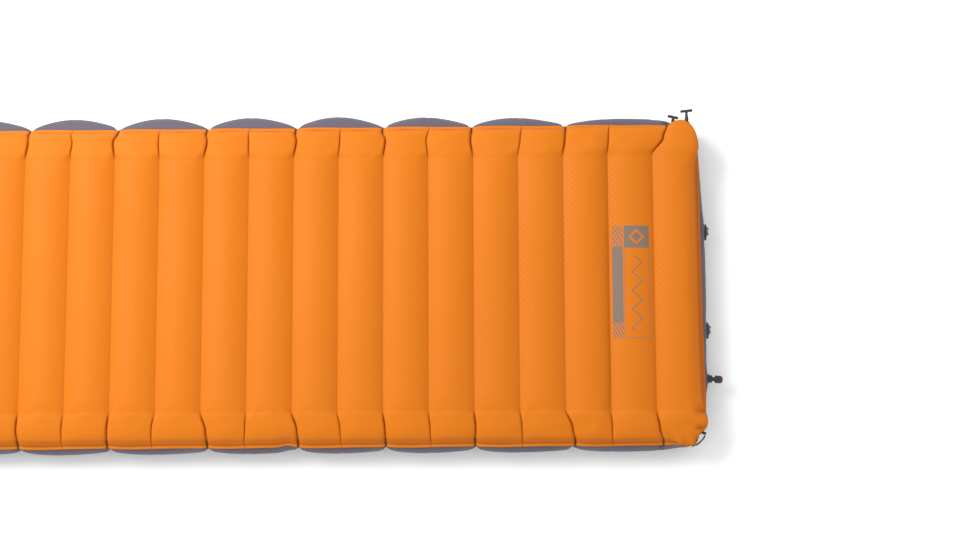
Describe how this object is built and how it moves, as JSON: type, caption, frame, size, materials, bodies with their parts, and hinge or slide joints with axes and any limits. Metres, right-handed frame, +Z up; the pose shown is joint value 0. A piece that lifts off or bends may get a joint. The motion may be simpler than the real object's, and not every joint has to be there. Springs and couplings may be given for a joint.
{
  "type": "inflatable sleeping pad",
  "caption": "Inflated rectangular sleeping pad with cross tubes, a hidden foot pump, plug valves and a twist valve at one end, and corner toggles and a cord loop.",
  "frame": {"origin": "centre of the face that rests on the ground", "axes": "+X along the pad towards the valve end, +Y across it towards the toggle side, +Z up"},
  "size_m": [2.0666, 0.779, 0.1016],
  "materials": {
    "orange_fabric": "satin",
    "grey_fabric": "matte",
    "wall_fabric": "matte",
    "pocket_film": "satin",
    "open_cell_foam": "matte",
    "silicone": "satin",
    "charcoal_plastic": "satin",
    "black_plastic": "satin",
    "black_rubber": "satin",
    "black_cord": "matte",
    "dark_red_rubber": "satin"
  },
  "bodies": {
    "pad": {"top_panel": "orange_fabric", "bottom_panel": "grey_fabric", "inner_wall_01": "wall_fabric", "inner_wall_02": "wall_fabric", "inner_wall_03": "wall_fabric", "inner_wall_04": "wall_fabric", "inner_wall_05": "wall_fabric", "inner_wall_06": "wall_fabric", "inner_wall_07": "wall_fabric", "inner_wall_08": "wall_fabric", "inner_wall_09": "wall_fabric", "inner_wall_10": "wall_fabric", "inner_wall_11": "wall_fabric", "inner_wall_12": "wall_fabric", "inner_wall_13": "wall_fabric", "inner_wall_14": "wall_fabric", "inner_wall_15": "wall_fabric", "inner_wall_16": "wall_fabric", "inner_wall_17": "wall_fabric", "inner_wall_18": "wall_fabric", "inner_wall_19": "wall_fabric", "pump_pocket": "pocket_film", "pump_foam": "open_cell_foam", "check_valve_ring": "charcoal_plastic", "intake_valve_flange": "charcoal_plastic", "dump_valve_flange": "charcoal_plastic", "mouth_valve_base": "black_plastic", "mouth_valve_stem": "black_plastic", "toggle_large_base": "black_rubber", "toggle_small_base": "black_rubber", "loop_tab_end": "black_cord", "loop_tab_side": "black_cord"},
    "pump_lid": {"pump_lid": "pocket_film"},
    "intake_flap": {"intake_flap": "silicone"},
    "check_flap": {"check_valve_flap": "silicone"},
    "intake_cap": {"intake_valve_cap": "charcoal_plastic"},
    "dump_cap": {"dump_valve_cap": "charcoal_plastic"},
    "mouth_tip": {"mouth_valve_tip": "dark_red_rubber"},
    "mouth_cap": {"mouth_valve_cap": "black_plastic"},
    "toggle_large": {"toggle_large": "black_rubber"},
    "toggle_small": {"toggle_small": "black_rubber"},
    "corner_loop": {"corner_loop": "black_cord"}
  },
  "joints": [
    {"name": "pump_press", "type": "slide", "parent": "pad", "child": "pump_lid", "axis": [0, 0, -1], "range_m": [0, 0.045], "stiffness_N_per_m": 1800, "deforming": ["pump_foam"]},
    {"name": "intake_flap_swing", "type": "hinge", "parent": "pad", "child": "intake_flap", "pos_m": [1.0032, 0.119, 0.0554], "axis": [0, 1, 0], "range_deg": [0, 35], "stiffness_Nm_per_rad": 0.0004},
    {"name": "check_flap_swing", "type": "hinge", "parent": "pad", "child": "check_flap", "pos_m": [0.955, -0.0329, 0.0545], "axis": [-1, 0, 0], "range_deg": [0, 35], "stiffness_Nm_per_rad": 0.0003},
    {"name": "intake_cap_hinge", "type": "hinge", "parent": "pad", "child": "intake_cap", "pos_m": [1.0202, 0.1015, 0.044], "axis": [0, 0, -1], "range_deg": [0, 150]},
    {"name": "dump_cap_hinge", "type": "hinge", "parent": "pad", "child": "dump_cap", "pos_m": [1.0202, -0.1205, 0.044], "axis": [0, 0, -1], "range_deg": [0, 150]},
    {"name": "mouth_tip_lift", "type": "slide", "parent": "pad", "child": "mouth_tip", "axis": [0.9976, -0.0698, 0], "range_m": [0, 0.003]},
    {"name": "mouth_cap_twist", "type": "hinge", "parent": "mouth_tip", "child": "mouth_cap", "pos_m": [1.016, -0.212, 0.044], "axis": [0.9976, -0.0698, 0], "range_deg": [0, 270.1]},
    {"name": "toggle_large_swing", "type": "hinge", "parent": "pad", "child": "toggle_large", "pos_m": [0.982, 0.3728, 0.056], "axis": [0, 0, 1], "range_deg": [-35, 35], "stiffness_Nm_per_rad": 0.02},
    {"name": "toggle_small_swing", "type": "hinge", "parent": "pad", "child": "toggle_small", "pos_m": [0.954, 0.3779, 0.027], "axis": [0, 0, 1], "range_deg": [-35, 35], "stiffness_Nm_per_rad": 0.02},
    {"name": "corner_loop_swing", "type": "hinge", "parent": "pad", "child": "corner_loop", "pos_m": [1.00626, -0.339, 0.058], "axis": [-0.7071, -0.7071, 0], "range_deg": [-60, 60]}
  ],
  "couplings": [
    {"joint": "mouth_cap_twist", "follows": "mouth_tip_lift", "rad_per_m": 1570.8}
  ]
}
